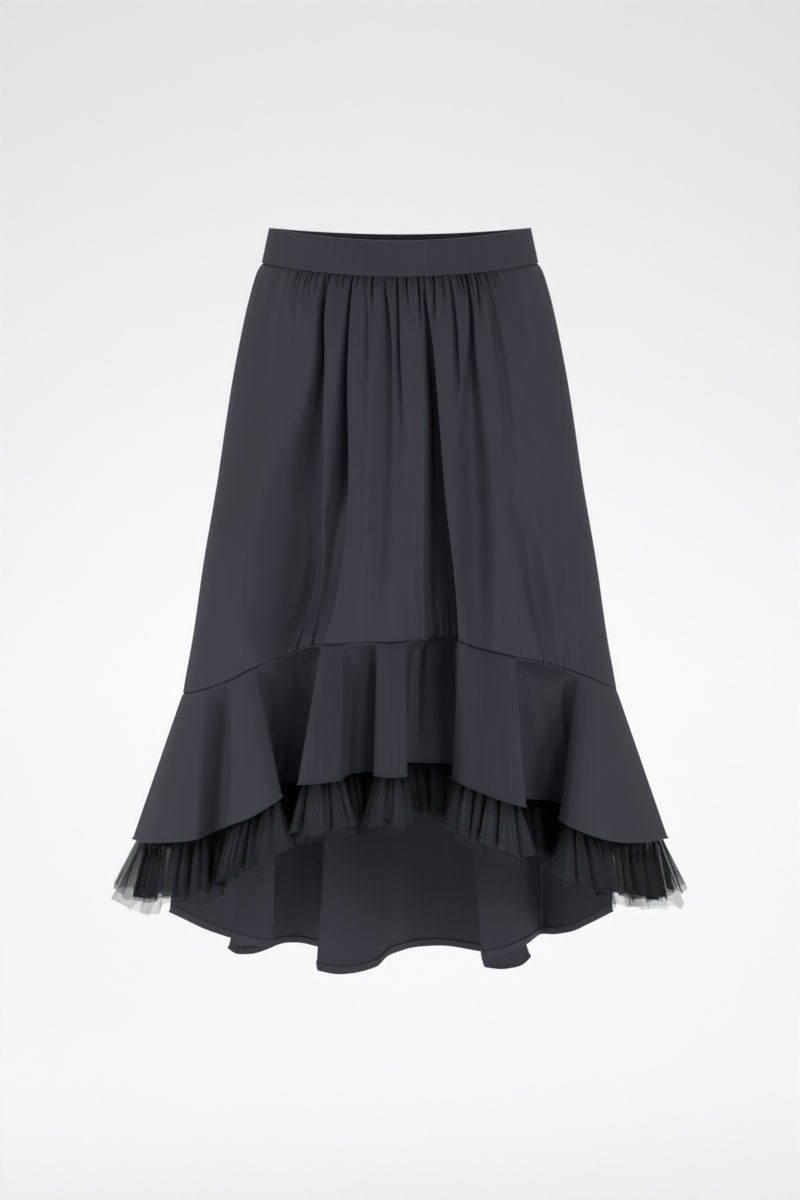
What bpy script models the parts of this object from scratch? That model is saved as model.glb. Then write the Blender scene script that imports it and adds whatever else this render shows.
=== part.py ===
"""Asymmetric midi skirt, worn open: a fitted waistband, gathered upper panels, a flared flounce
that is short at the front and long at the back, and a gathered net frill under the front flounce.

Frame: +Z up, front towards -Y, the wearer's left towards +X. The origin is the centre of the
waistband's ring, where the wearer's waist holds the skirt. Sizes below are in millimetres, and
"turn" is an angle round the skirt in degrees: 0 at centre front, 90 at +X, 180 at centre back.
"""
import math
from collections import namedtuple

import bmesh
import bpy
from mathutils import Vector

MM = 0.001

# Driving dimensions
CLOTH = 1.2                # wall of the woven cloth
NET = 1.0                  # wall of the gathered net
SEAM_GAP = 0.3             # clear space between two pieces at a straight seam
CORNER_GAP = 1.2           # the same, between the flounces, whose walls meet at an angle
GATHER_GAP = 0.9           # the same, where the gathers spring out from under the band
SIDE_SEAM = 97.0           # turn of the side seams, just behind the hips' widest line
BACK_SEAM = 180.0          # turn of the zipped centre back seam

BAND_HEIGHT = 34.5
BAND_TOP = 17.0            # top edge of the band at the sides, above the origin
BAND_FRONT_DIP = 12.5      # how far the band sinks at centre front
BAND_BACK_DIP = 6.0

FRILL_SEWN_ABOVE = 0.14    # part of the flounce's depth by which the frill's seam clears the hem
FRILL_SEAT = 2.7           # from the flounce's middle surface in to the frill's, where it is sewn
FRILL_INSET = 5.0          # how far inside the flounce's hem the frill hangs
FRILL_CENTRE = 54.0        # frill below the hem at centre front
FRILL_SIDE = 62.0          # and at the side seams
FRILL_FLARE = 0.16         # sideways spread per millimetre of frill
PLEAT_AT_HEM = 1.2         # half height of the frill's small pleats
PLEAT_AT_EDGE = 3.2
PLEAT_ROOM = 9.0           # round a tight fold, half pleats narrower than this are lower

ZIP_LENGTH = 190.0
ZIP_TOP = 3.0              # tape's top end below the band's top edge
ZIP_TAPE = 1.0             # tape with its closed coil
PULL_LENGTH = 21.0
PULL_WIDTH = 5.0
PULL_THICKNESS = 1.6

# Half width and half depths of the skirt's ring at each height; the heights are those at the
# side seams, because the band and the cloth gathered to it dip at centre front and back
Section = namedtuple("Section", "z half_width front back")
BAND = [
    Section(17, 128.5, 92, 92),
    Section(-17.5, 136.0, 97.5, 97.5),
]
BODY = [
    Section(-17.5, 136.0, 97.5, 97.5),
    Section(-25, 140.5, 102, 101),
    Section(-36, 144.5, 105, 106),
    Section(-54, 149.5, 109, 111),
    Section(-94, 158.5, 115, 121),
    Section(-133, 166.0, 120, 129),
    Section(-173, 172.5, 126, 136),
    Section(-233, 181.5, 134, 143),
    Section(-313, 195.5, 144, 150),
    Section(-393, 207.5, 153, 156),
    Section(-445, 217.0, 158, 160),
    Section(-550, 228.0, 166, 168),
]

# Height of the seam between the upper panels and the flounces, the same on both sides
SeamLevel = namedtuple("SeamLevel", "turn z")
FLOUNCE_SEAM = [
    SeamLevel(0, -376),
    SeamLevel(14, -377),
    SeamLevel(26, -386),
    SeamLevel(38, -400),
    SeamLevel(52, -416),
    SeamLevel(70, -435),
    SeamLevel(90, -447),
    SeamLevel(120, -480),
    SeamLevel(150, -528),
    SeamLevel(180, -550),
]

# Folds that fall from the gathers: their turn at the waist and at the flounce seam, their half
# width in degrees, and how deep they sink at the band, half way down and at the seam
Fold = namedtuple("Fold", "name waist seam half_width top middle bottom")
FRONT_FOLDS = [
    Fold("left_outer", -58.0, -52.0, 7.0, 2.0, 2.5, 1.0),
    Fold("left_main", -32.7, -28.6, 5.0, 4.0, 7.5, 5.0),
    Fold("left_inner", -20.5, -23.0, 4.0, 4.0, 6.0, 5.5),
    Fold("left_short", -13.5, -9.5, 3.0, 3.5, 2.5, 0.0),
    Fold("middle_left", -6.7, -4.7, 2.6, 3.0, 1.5, 0.5),
    Fold("middle", -0.4, 0.5, 2.6, 3.0, 2.0, 0.0),
    Fold("deep", 11.0, 12.0, 4.2, 5.0, 9.0, 12.0),
    Fold("right_short", 20.0, 18.5, 2.8, 3.0, 1.5, 0.0),
    Fold("right_main", 27.9, 24.5, 4.0, 3.5, 4.0, 2.0),
    Fold("right_outer", 37.8, 31.0, 4.5, 3.0, 3.5, 1.0),
    Fold("right_side", 60.0, 54.0, 7.0, 2.0, 2.0, 2.5),
]
BACK_FOLDS = [
    Fold("right_side", 118.0, 120.0, 6.5, 2.5, 3.0, 1.5),
    Fold("right_outer", 139.0, 138.0, 6.0, 4.0, 6.0, 4.0),
    Fold("right_main", 158.0, 155.0, 5.5, 4.5, 7.5, 7.0),
    Fold("right_inner", 170.5, 167.5, 3.6, 3.5, 3.5, 0.5),
    Fold("left_inner", 188.5, 190.5, 3.6, 3.5, 3.0, 0.5),
    Fold("left_main", 203.0, 208.0, 5.5, 5.0, 8.0, 6.5),
    Fold("left_outer", 224.0, 224.0, 6.0, 3.5, 5.0, 3.5),
    Fold("left_side", 243.0, 240.0, 6.5, 2.0, 2.5, 1.5),
]

# The flounces' hems, one row for each crest, edge and valley of their flutes: where the line
# that runs down to it leaves the seam, its place, and how far it sinks in half way down
Flute = namedtuple("Flute", "name turn x y z sink")
FRONT_HEM = [
    Flute("side_seam", -97.0, -229.5, 34, -612, 0),
    Flute("lobe_a_back", -92.5, -257, 19, -602, 0),
    Flute("lobe_a_tip", -88.0, -270, -3, -594, 0),
    Flute("lobe_a_side", -78.0, -251, -62, -589, -2),
    Flute("lobe_a_wide", -66.0, -211, -117, -577, -2),
    Flute("lobe_a_dip", -57.0, -180, -143, -563, 4),
    Flute("lobe_a_crest", -47.0, -143, -183, -543, -1),
    Flute("lobe_a_front", -41.0, -122, -203, -528, -2),
    Flute("lobe_a_edge", -38.0, -111, -194, -520, 0),
    Flute("lobe_a_return", -35.0, -112, -174, -518, 9),
    Flute("valley_1", -30.5, -105, -153, -515, 16),
    Flute("lobe_b_return", -25.5, -97, -176, -510, 9),
    Flute("lobe_b_edge", -22.0, -96, -199, -508, 0),
    Flute("lobe_b_crest", -18.0, -80, -215, -506, -3),
    Flute("lobe_b_side", -13.5, -57, -202, -503, 0),
    Flute("valley_2", -9.5, -37, -172, -499, 8),
    Flute("lobe_c_edge", -6.5, -26, -190, -500, 0),
    Flute("lobe_c_crest", -3.0, -9, -208, -501, -3),
    Flute("lobe_c_side", 1.5, 9, -196, -499, 0),
    Flute("valley_3", 7.0, 25, -152, -495, 14),
    Flute("valley_3_deep", 12.5, 42, -155, -497, 15),
    Flute("lobe_d_edge", 16.5, 49, -192, -504, 0),
    Flute("lobe_d_crest", 21.5, 68, -214, -513, -3),
    Flute("lobe_d_wide", 27.0, 95, -212, -523, -2),
    Flute("lobe_d_side", 32.0, 119, -193, -529, 0),
    Flute("valley_4", 37.0, 122, -158, -530, 12),
    Flute("valley_4_deep", 45.5, 143, -147, -534, 13),
    Flute("lobe_e_edge", 52.0, 151, -175, -545, 2),
    Flute("lobe_e_crest", 58.0, 170, -184, -556, -3),
    Flute("lobe_e_wide", 67.0, 205, -129, -576, -2),
    Flute("lobe_e_side", 78.0, 243, -66, -588, -2),
    Flute("lobe_e_tip", 88.0, 271, -3, -593, 0),
    Flute("lobe_e_back", 92.5, 252, 21, -602, 0),
    Flute("side_seam", 97.0, 216.5, 37, -612, 0),
]
BACK_HEM = [
    Flute("side_seam", 97.0, 217, 44, -678, 0),
    Flute("side", 106.0, 203, 96, -702, 0),
    Flute("side_wide", 117.0, 174, 147, -722, 0),
    Flute("side_crest", 126.0, 149, 178, -729, -2),
    Flute("fold_1_inner", 131.5, 129, 171, -738, 2),
    Flute("fold_1_face", 136.5, 106, 159, -745, 4),
    Flute("fold_1_edge", 141.0, 86, 154, -751, 6),
    Flute("fold_1_turn", 144.0, 87, 169, -760, 6),
    Flute("fold_1_middle", 147.5, 108, 182, -762, 4),
    Flute("fold_1_outer", 151.0, 129, 196, -757, 2),
    Flute("fold_1_return", 155.0, 117, 212, -756, 0),
    Flute("crest_right", 162.0, 76, 211, -754, -3),
    Flute("crest", 172.0, 30, 205, -748, -3),
    Flute("crest_left", 180.0, -2, 186, -750, 0),
    Flute("valley_right", 187.0, -30, 152, -758, 6),
    Flute("valley", 194.0, -62, 134, -761, 8),
    Flute("valley_edge", 201.0, -89, 146, -758, 6),
    Flute("valley_turn", 205.0, -84, 170, -752, 4),
    Flute("valley_return", 209.0, -80, 194, -749, 1),
    Flute("crest_2", 214.0, -99, 207, -745, -2),
    Flute("crest_2_left", 219.0, -129, 201, -741, -2),
    Flute("fold_2_inner", 224.0, -158, 191, -743, 0),
    Flute("fold_2_return", 228.0, -175, 178, -745, 1),
    Flute("fold_2_middle", 232.0, -156, 165, -744, 3),
    Flute("fold_2_edge", 236.0, -135, 155, -738, 5),
    Flute("fold_2_face", 240.0, -148, 140, -732, 4),
    Flute("fold_2_outer", 245.0, -176, 129, -726, 2),
    Flute("side_wide", 253.0, -206, 99, -708, 0),
    Flute("side_seam", 263.0, -235, 40, -678, 0),
]

PANEL_ROWS = 8
PANEL_CROWDING = 1.7       # power by which a panel's rows crowd towards the band
FLOUNCE_ROWS = 4
BAND_COLUMNS = 34
COLUMNS_PER_FLUTE = 2
PLEATS = 2                 # half pleats of net along each facet of the flounce


Column = namedtuple("Column", "turn hem sink")


def smooth(keys, values, key):
    """Read a smooth curve through (key, value) pairs; the keys rise."""
    last = len(keys) - 1
    i = max(j for j in range(last) if key >= keys[j] or j == 0)
    span = [keys[j + 1] - keys[j] for j in range(last)]
    rise = [(values[j + 1] - values[j]) / span[j] for j in range(last)]

    def slope(j):
        if j == 0:
            return rise[0]
        if j == last:
            return rise[-1]
        return (span[j - 1] * rise[j] + span[j] * rise[j - 1]) / (span[j - 1] + span[j])

    f = (key - keys[i]) / span[i]
    return ((1 + 2 * f) * (1 - f) ** 2 * values[i] + f * (1 - f) ** 2 * span[i] * slope(i)
            + f * f * (3 - 2 * f) * values[i + 1] - f * f * (1 - f) * span[i] * slope(i + 1))


def mix(a, b, f):
    return a + (b - a) * f


def from_front(turn):
    """Angle away from centre front, 0 to 180, of a turn that may run past either side."""
    return abs((turn + 180.0) % 360.0 - 180.0)


def band_top(turn):
    lean = math.cos(math.radians(turn))
    dip = BAND_FRONT_DIP if lean > 0 else BAND_BACK_DIP
    return BAND_TOP - dip * lean * lean


def flounce_seam(turn):
    levels = [row.turn for row in FLOUNCE_SEAM]
    return smooth(levels, [row.z for row in FLOUNCE_SEAM], from_front(turn))


def on_ring(rings, turn, level, z, inset=0.0):
    """The point at a turn of the ring that a table gives at a level, placed at z, moved in."""
    heights = [-row.z for row in rings]
    half_width = smooth(heights, [row.half_width for row in rings], -level)
    angle = math.radians(turn)
    side = [row.front if math.cos(angle) > 0 else row.back for row in rings]
    half_depth = smooth(heights, side, -level)
    out = Vector((math.sin(angle) / half_width, -math.cos(angle) / half_depth, 0.0)).normalized()
    return Vector((half_width * math.sin(angle), -half_depth * math.cos(angle), z)) - out * inset


def band_point(turn, down, inset=0.0):
    """A point of the band's middle surface; down is 0 at its top edge and 1 at its seam."""
    return on_ring(BAND, turn, BAND_TOP - BAND_HEIGHT * down, band_top(turn) - BAND_HEIGHT * down, inset)


def bell(distance):
    """1 in the middle of a fold, falling smoothly to 0 at its half width."""
    return (1.0 - distance * distance) ** 2 if abs(distance) < 1.0 else 0.0


def fold_inset(folds, turn, down):
    """How far the folds draw the cloth in; down is 0 at the band and 1 at the flounce seam."""
    depth = 0.0
    for fold in folds:
        reach = smooth([0.0, 0.5, 1.0], [fold.top, fold.middle, fold.bottom], down)
        depth += reach * bell((turn - fold.seam) / fold.half_width)
    return depth


def waist_turn(folds, turn):
    """The turn at the waist of the cloth that reaches the flounce seam at a given turn."""
    ends = (-SIDE_SEAM, SIDE_SEAM) if folds is FRONT_FOLDS else (SIDE_SEAM, 360.0 - SIDE_SEAM)
    seams = [ends[0]] + [fold.seam for fold in folds] + [ends[1]]
    waists = [ends[0]] + [fold.waist for fold in folds] + [ends[1]]
    return smooth(seams, waists, turn)


def panel_point(folds, turn, down):
    """A point of an upper panel's middle surface."""
    start = waist_turn(folds, turn)
    seam = flounce_seam(turn)
    level = mix(BAND_TOP - BAND_HEIGHT, seam, down)
    z = mix(band_top(start) - BAND_HEIGHT, seam, down)
    return on_ring(BODY, mix(start, turn, down), level, z, fold_inset(folds, turn, down))


def hem_columns(hem, per_flute):
    """The lines that run down a flounce, evenly between the rows of its hem's table."""
    points = [Vector((row.x, row.y, row.z)) for row in hem]
    run = [0.0]
    for a, b in zip(points, points[1:]):
        run.append(run[-1] + (b - a).length)
    columns = []
    for i in range(len(hem) - 1):
        for step in range(per_flute + (i == len(hem) - 2)):
            f = step / per_flute
            along = mix(run[i], run[i + 1], f)
            place = Vector([smooth(run, [p[axis] for p in points], along) for axis in range(3)])
            sink = smooth(run, [row.sink for row in hem], along)
            columns.append(Column(mix(hem[i].turn, hem[i + 1].turn, f), place, sink))
    return columns


def flounce_point(folds, column, down):
    """A flounce runs nearly straight from its seam to its hem; valleys sink in on the way."""
    seam = panel_point(folds, column.turn, 1.0)
    inward = Vector((-seam.x, -seam.y, 0.0)).normalized()
    return seam.lerp(column.hem, down) + inward * column.sink * 4.0 * down * (1.0 - down)


def outward(points, i):
    """The level direction out of the skirt at one point of a ring of points."""
    along = points[min(i + 1, len(points) - 1)] - points[max(i - 1, 0)]
    return Vector((along.y, -along.x, 0.0)).normalized()


def trim(row, gap):
    """Draw both ends of a row of points in by gap, towards their neighbours."""
    row[0] = row[0] + (row[1] - row[0]).normalized() * gap
    row[-1] = row[-1] + (row[-2] - row[-1]).normalized() * gap


def cut_piece(grid, gap_top=SEAM_GAP / 2, gap_bottom=0.0, gap_sides=SEAM_GAP / 2):
    """Trim a grid of points (rows running down) to the seam gaps at its edges."""
    for c in range(len(grid[0])):
        grid[0][c] = grid[0][c] + (grid[1][c] - grid[0][c]).normalized() * gap_top
        grid[-1][c] = grid[-1][c] + (grid[-2][c] - grid[-1][c]).normalized() * gap_bottom
    for row in grid:
        trim(row, gap_sides)
    return grid


def finish(name, colour, roughness, metallic=0.0):
    """A plain material of one finish."""
    material = bpy.data.materials.new(name)
    material.use_nodes = True
    shader = material.node_tree.nodes["Principled BSDF"]
    shader.inputs["Base Color"].default_value = (*colour, 1.0)
    shader.inputs["Roughness"].default_value = roughness
    shader.inputs["Metallic"].default_value = metallic
    return material


def wall(name, grid, thickness, material):
    """Make one cut piece: a sheet through the grid's points, thickened evenly to both sides."""
    bm = bmesh.new()
    rows = [[bm.verts.new(point * MM) for point in row] for row in grid]
    for upper, lower in zip(rows, rows[1:]):
        for c in range(len(upper) - 1):
            bm.faces.new((upper[c], lower[c], lower[c + 1], upper[c + 1]))
    bmesh.ops.triangulate(bm, faces=bm.faces[:], quad_method="SHORT_EDGE")
    mesh = bpy.data.meshes.new(name)
    bm.to_mesh(mesh)
    bm.free()
    mesh.materials.append(material)
    piece = bpy.data.objects.new(name, mesh)
    bpy.context.scene.collection.objects.link(piece)
    thicken = piece.modifiers.new("Wall", "SOLIDIFY")
    thicken.thickness = thickness * MM
    thicken.offset = 0.0
    thicken.use_even_offset = False
    mesh.shade_smooth()
    return piece


def waistband(name, start, end, columns, material):
    """A stretch of the band between two turns, sloping out from its top edge to its seam."""
    turns = [mix(start, end, i / columns) for i in range(columns + 1)]
    grid = [[band_point(turn, down) for turn in turns] for down in (0.0, 0.5, 1.0)]
    return wall(name, cut_piece(grid, 0.0, SEAM_GAP / 2), CLOTH, material)


def panel_down(r):
    """Rows of a panel crowd towards the band, where the gathers spring out."""
    return (r / PANEL_ROWS) ** PANEL_CROWDING


def panel(name, folds, turns, material):
    """A gathered upper panel from the band down to the flounce seam."""
    grid = []
    for r in range(PANEL_ROWS + 1):
        grid.append([panel_point(folds, turn, panel_down(r)) for turn in turns])
    return wall(name, cut_piece(grid, GATHER_GAP - SEAM_GAP / 2, SEAM_GAP / 2), CLOTH, material)


def flounce(name, folds, hem, material):
    """A flared flounce from its seam to its fluted hem."""
    columns = hem_columns(hem, COLUMNS_PER_FLUTE)
    grid = []
    for r in range(FLOUNCE_ROWS + 1):
        grid.append([flounce_point(folds, column, r / FLOUNCE_ROWS) for column in columns])
    return wall(name, cut_piece(grid, gap_sides=CORNER_GAP / 2), CLOTH, material)


def pleated(points):
    """Add points halfway along the straight runs between a row of points, for pleats."""
    row = []
    for a, b in zip(points, points[1:]):
        row += [a.lerp(b, step / PLEATS) for step in range(PLEATS)]
    return row + [points[-1]]


def net_frill(name, material):
    """The gathered net: sewn inside the front flounce, it hangs below the hem in small pleats."""
    columns = hem_columns(FRONT_HEM, COLUMNS_PER_FLUTE)
    sewn = [flounce_point(FRONT_FOLDS, column, 1.0 - FRILL_SEWN_ABOVE) for column in columns]
    sewn = pleated(sewn)
    hem = pleated([column.hem for column in columns])
    grid = [[], [], []]
    for i, place in enumerate(hem):
        out = outward(hem, i)
        fall = (place - sewn[i]).normalized()
        away_from_axis = Vector((place.x, place.y, 0.0)).normalized()
        spread = (fall + away_from_axis * FRILL_FLARE).normalized()
        away = abs(2.0 * i / (len(hem) - 1) - 1.0)
        length = mix(FRILL_CENTRE, FRILL_SIDE, away) + 2.0 * math.sin(1.7 * i)
        room = min((hem[j] - place).length for j in (i - 1, i + 1) if 0 <= j < len(hem))
        ease = min(1.0, room / PLEAT_ROOM) ** 3
        inset = mix(FRILL_SEAT, FRILL_INSET, ease)
        pleat = ease if i % 2 else -ease
        grid[0].append(sewn[i] - outward(sewn, i) * FRILL_SEAT)
        grid[1].append(place - out * (inset + pleat * PLEAT_AT_HEM))
        grid[2].append(place - out * (inset + pleat * PLEAT_AT_EDGE) + spread * length)
    return wall(name, cut_piece(grid, 0.0, 0.0, CORNER_GAP), NET, material)


def zip_tape(name, turns, material):
    """The closed zip's tape, behind the centre back seam from the band's top edge down."""
    inset = (CLOTH + ZIP_TAPE) / 2 + SEAM_GAP * 2
    levels = (ZIP_TOP / BAND_HEIGHT, 0.5, 1.0)
    grid = [[band_point(turn, down, inset) for turn in turns] for down in levels]
    rows = [r for r in range(1, PANEL_ROWS) if panel_down(r) * -flounce_seam(BACK_SEAM) < ZIP_LENGTH]
    for r in rows:
        points = [panel_point(BACK_FOLDS, turn, panel_down(r)) for turn in turns]
        grid.append([point - Vector((0.0, inset, 0.0)) for point in points])
    return wall(name, grid, ZIP_TAPE, material)


def zip_slider(name, material):
    """The slider's drop-shaped pull, lying on the band over the top of the zip."""
    bm = bmesh.new()
    outline = []
    for step in range(16):
        angle = 2.0 * math.pi * step / 16
        drop = 0.72 + 0.28 * math.cos(angle)
        x = PULL_WIDTH / 2 * math.sin(angle) * drop
        z = -PULL_LENGTH / 2 * math.cos(angle)
        outline.append(bm.verts.new(Vector((x, 0.0, z)) * MM))
    face = bm.faces.new(outline)
    swept = bmesh.ops.extrude_face_region(bm, geom=[face])
    lifted = [item for item in swept["geom"] if isinstance(item, bmesh.types.BMVert)]
    bmesh.ops.translate(bm, verts=lifted, vec=Vector((0.0, PULL_THICKNESS * MM, 0.0)))
    bmesh.ops.recalc_face_normals(bm, faces=bm.faces[:])
    mesh = bpy.data.meshes.new(name)
    bm.to_mesh(mesh)
    bm.free()
    mesh.materials.append(material)
    pull = bpy.data.objects.new(name, mesh)
    bpy.context.scene.collection.objects.link(pull)
    upper = band_point(BACK_SEAM, ZIP_TOP / BAND_HEIGHT)
    lower = band_point(BACK_SEAM, (ZIP_TOP + PULL_LENGTH) / BAND_HEIGHT)
    seat = (upper + lower) / 2
    pull.location = (seat + Vector((0.0, CLOTH / 2 + SEAM_GAP * 2, 0.0))) * MM
    pull.rotation_euler.x = math.atan2(lower.y - upper.y, PULL_LENGTH)
    return pull


def build():
    """Make every piece of the skirt."""
    for item in list(bpy.data.objects):
        bpy.data.objects.remove(item)
    cloth = finish("slate_cloth", (0.047, 0.052, 0.066), 0.62)
    net = finish("black_net", (0.016, 0.017, 0.020), 0.75)
    tape = finish("zip_tape", (0.040, 0.044, 0.055), 0.7)
    metal = finish("zip_metal", (0.055, 0.060, 0.072), 0.35, 0.6)

    half = BAND_COLUMNS // 2
    waistband("waistband_front", -SIDE_SEAM, SIDE_SEAM, BAND_COLUMNS, cloth)
    waistband("waistband_back_right", SIDE_SEAM, BACK_SEAM, half, cloth)
    waistband("waistband_back_left", BACK_SEAM, 360.0 - SIDE_SEAM, half, cloth)

    front_turns = [column.turn for column in hem_columns(FRONT_HEM, COLUMNS_PER_FLUTE)]
    back_turns = [column.turn for column in hem_columns(BACK_HEM, COLUMNS_PER_FLUTE)]
    right_turns = [turn for turn in back_turns if turn <= BACK_SEAM]
    left_turns = [turn for turn in back_turns if turn >= BACK_SEAM]
    panel("front_panel", FRONT_FOLDS, front_turns, cloth)
    panel("back_panel_right", BACK_FOLDS, right_turns, cloth)
    panel("back_panel_left", BACK_FOLDS, left_turns, cloth)

    flounce("front_flounce", FRONT_FOLDS, FRONT_HEM, cloth)
    flounce("back_flounce", BACK_FOLDS, BACK_HEM, cloth)
    net_frill("net_frill", net)
    seam_column = back_turns.index(BACK_SEAM)
    zip_tape("zip_tape", back_turns[seam_column - 1:seam_column + 2], tape)
    zip_slider("zip_slider", metal)


build()
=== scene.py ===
# The finished look of an asymmetric midi skirt: fitted band, gathered panels, a flared flounce
# that is short in front and long behind, and a gathered net frill under the front flounce.
# Tables are in millimetres. "Turn" goes round the skirt in degrees: 0 at centre front,
# 90 at the wearer's left side, 180 at centre back.
import math

import bmesh
import bpy
import numpy as np
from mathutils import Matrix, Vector


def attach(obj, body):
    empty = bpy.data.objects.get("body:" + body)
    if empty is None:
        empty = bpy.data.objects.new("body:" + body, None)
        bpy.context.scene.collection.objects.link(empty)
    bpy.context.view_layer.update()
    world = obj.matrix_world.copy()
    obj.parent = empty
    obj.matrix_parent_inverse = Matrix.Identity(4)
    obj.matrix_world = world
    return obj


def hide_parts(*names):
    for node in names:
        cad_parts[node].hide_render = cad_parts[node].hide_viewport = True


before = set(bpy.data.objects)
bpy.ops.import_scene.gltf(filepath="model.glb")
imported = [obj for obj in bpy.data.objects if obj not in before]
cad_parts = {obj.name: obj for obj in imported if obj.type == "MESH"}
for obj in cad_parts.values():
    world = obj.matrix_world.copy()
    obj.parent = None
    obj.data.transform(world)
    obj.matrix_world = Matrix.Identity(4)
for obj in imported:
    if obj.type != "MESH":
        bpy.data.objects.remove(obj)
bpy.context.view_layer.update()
mm = 0.001

# The skirt's rings: height at the side seams, half width, half depth in front and behind
rings = {
    "band": [(17, 128.5, 92, 92), (-17.5, 136, 97.5, 97.5)],
    "body": [(-17.5, 136, 97.5, 97.5), (-25, 140.5, 102, 101), (-36, 144.5, 105, 106),
             (-54, 149.5, 109, 111), (-94, 158.5, 115, 121), (-133, 166, 120, 129),
             (-173, 172.5, 126, 136), (-233, 181.5, 134, 143), (-313, 195.5, 144, 150),
             (-393, 207.5, 153, 156), (-445, 217, 158, 160), (-550, 228, 166, 168)],
    "bandTop": 17, "bandHeight": 34.5, "frontDip": 12.5, "backDip": 6,
    "sideSeam": 97, "backSeam": 180,  # turns of the seams
    # height of the flounce seam, by turn away from centre front
    "flounceSeam": [(0, -376), (14, -377), (26, -386), (38, -400), (52, -416), (70, -435),
                    (90, -447), (120, -480), (150, -528), (180, -550)],
}

# Long folds: how far the floor leans sideways for its depth, how square the fold is (1 a crease,
# 2 a soft bell, 4 or more steep walls), then its stations: part of the way down, turn, half
# width, depth
frontFolds = [
    (0.0, 2, [(0, -58, 12, 1.5), (0.5, -55, 18, 3), (1, -52, 18, 1.5)]),
    (0.0, 2, [(0, -31.9, 3.0, 4), (0.1, -31.0, 4.5, 13), (0.21, -29.4, 6.5, 19), (0.35, -30.4, 14, 22),
              (0.5, -33.4, 31, 33), (0.62, -34.8, 44, 40), (0.88, -32.8, 54, 45), (1, -31, 32, 16)]),
    (0.3, 3, [(0, -19.8, 2.2, 4), (0.13, -20.0, 3.6, 12), (0.24, -20.2, 5.5, 20), (0.35, -20.0, 7.5, 26),
              (0.5, -20.1, 12, 28), (0.62, -20.6, 15, 25), (0.75, -21.4, 17, 19), (0.88, -22.4, 16, 12),
              (1, -24, 12, 5)]),
    (0.0, 2, [(0.6, -33.5, 8, 0), (0.85, -34.5, 9, 5), (1, -35.5, 9, 4)]),
    (-0.3, 2, [(0, -13.5, 2, 0.5), (0.07, -12.7, 3, 2.5), (0.34, -11.4, 5, 2), (0.6, -11, 6, 0)]),
    (0.4, 2, [(0, -7.1, 2.5, 4), (0.08, -5.6, 4, 7), (0.3, -5.4, 11, 9), (0.6, -5.8, 14, 8),
              (0.85, -6.6, 14, 6), (1, -6.8, 14, 2)]),
    (0.4, 2, [(0, -1.2, 2.2, 4), (0.2, -1.0, 3.5, 6), (0.4, -0.3, 6, 4), (0.65, 0, 8, 0)]),
    (0.35, 8, [(0, 8.6, 1.8, 3), (0.08, 9.3, 2.3, 6), (0.15, 9.8, 3.8, 11), (0.23, 10.0, 5.4, 19),
               (0.37, 10.4, 6.6, 27), (0.62, 10.5, 10.8, 34), (0.89, 11.0, 16.5, 38), (1, 11.2, 17, 31)]),
    (0.3, 2, [(0, 27.6, 2.5, 4), (0.1, 27.2, 3.2, 8), (0.21, 25.6, 5.5, 11), (0.35, 24.0, 14, 12),
              (0.6, 23.2, 21, 14), (0.85, 21.8, 21, 11), (1, 21.6, 15, 4)]),
    (0.1, 2, [(0.5, 38.5, 14, 0), (0.7, 41.0, 18, 7), (0.88, 43.0, 19, 11), (1, 44.5, 15, 2)]),
    (0.2, 2, [(0.55, 3.5, 13, 0), (0.75, 3.8, 17, 4), (0.95, 4.4, 18, 7), (1, 4.6, 18, 6)]),
    (0.3, 2, [(0, 20.0, 2.2, 4), (0.14, 20.2, 3.2, 7), (0.26, 19.6, 4, 5), (0.4, 19.2, 6, 0)]),
    (0.2, 2, [(0, 36.6, 3.5, 2.5), (0.12, 36.8, 6, 5), (0.3, 37.5, 8, 4), (0.5, 36.8, 10, 2),
              (1, 33, 14, 1)]),
    (0.0, 2, [(0, 60, 12, 1.5), (0.5, 57, 18, 2), (1, 54, 16, 2.5)]),
]
backFolds = [
    (0.0, 2, [(0, 118, 10, 1.5), (0.5, 119, 17, 3), (1, 120, 17, 1.5)]),
    (0.3, 2, [(0, 139, 3, 4), (0.2, 138.5, 7, 7), (0.6, 138, 14, 7), (1, 138, 16, 4)]),
    (0.4, 3, [(0, 158, 3, 4.5), (0.15, 157.5, 5, 9), (0.45, 156, 9, 12), (0.8, 155, 15, 12),
              (1, 155, 17, 7)]),
    (0.0, 2, [(0, 170.5, 3, 3.5), (0.3, 169.5, 7, 4), (0.7, 168, 10, 1), (1, 167.5, 10, 0.5)]),
    (0.0, 2, [(0, 188.5, 3, 3.5), (0.3, 189.3, 7, 4), (0.7, 190, 10, 1), (1, 190.5, 10, 0.5)]),
    (-0.4, 3, [(0, 203, 3, 5), (0.15, 203.5, 5, 10), (0.5, 205, 10, 13), (0.8, 207, 15, 12),
               (1, 208, 17, 6.5)]),
    (-0.2, 2, [(0, 224, 3.5, 4), (0.2, 224, 7, 6), (0.6, 224, 14, 6), (1, 224, 16, 3.5)]),
    (0.0, 2, [(0, 243, 10, 1.5), (0.5, 241.5, 17, 2.5), (1, 240, 17, 1.5)]),
]

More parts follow.
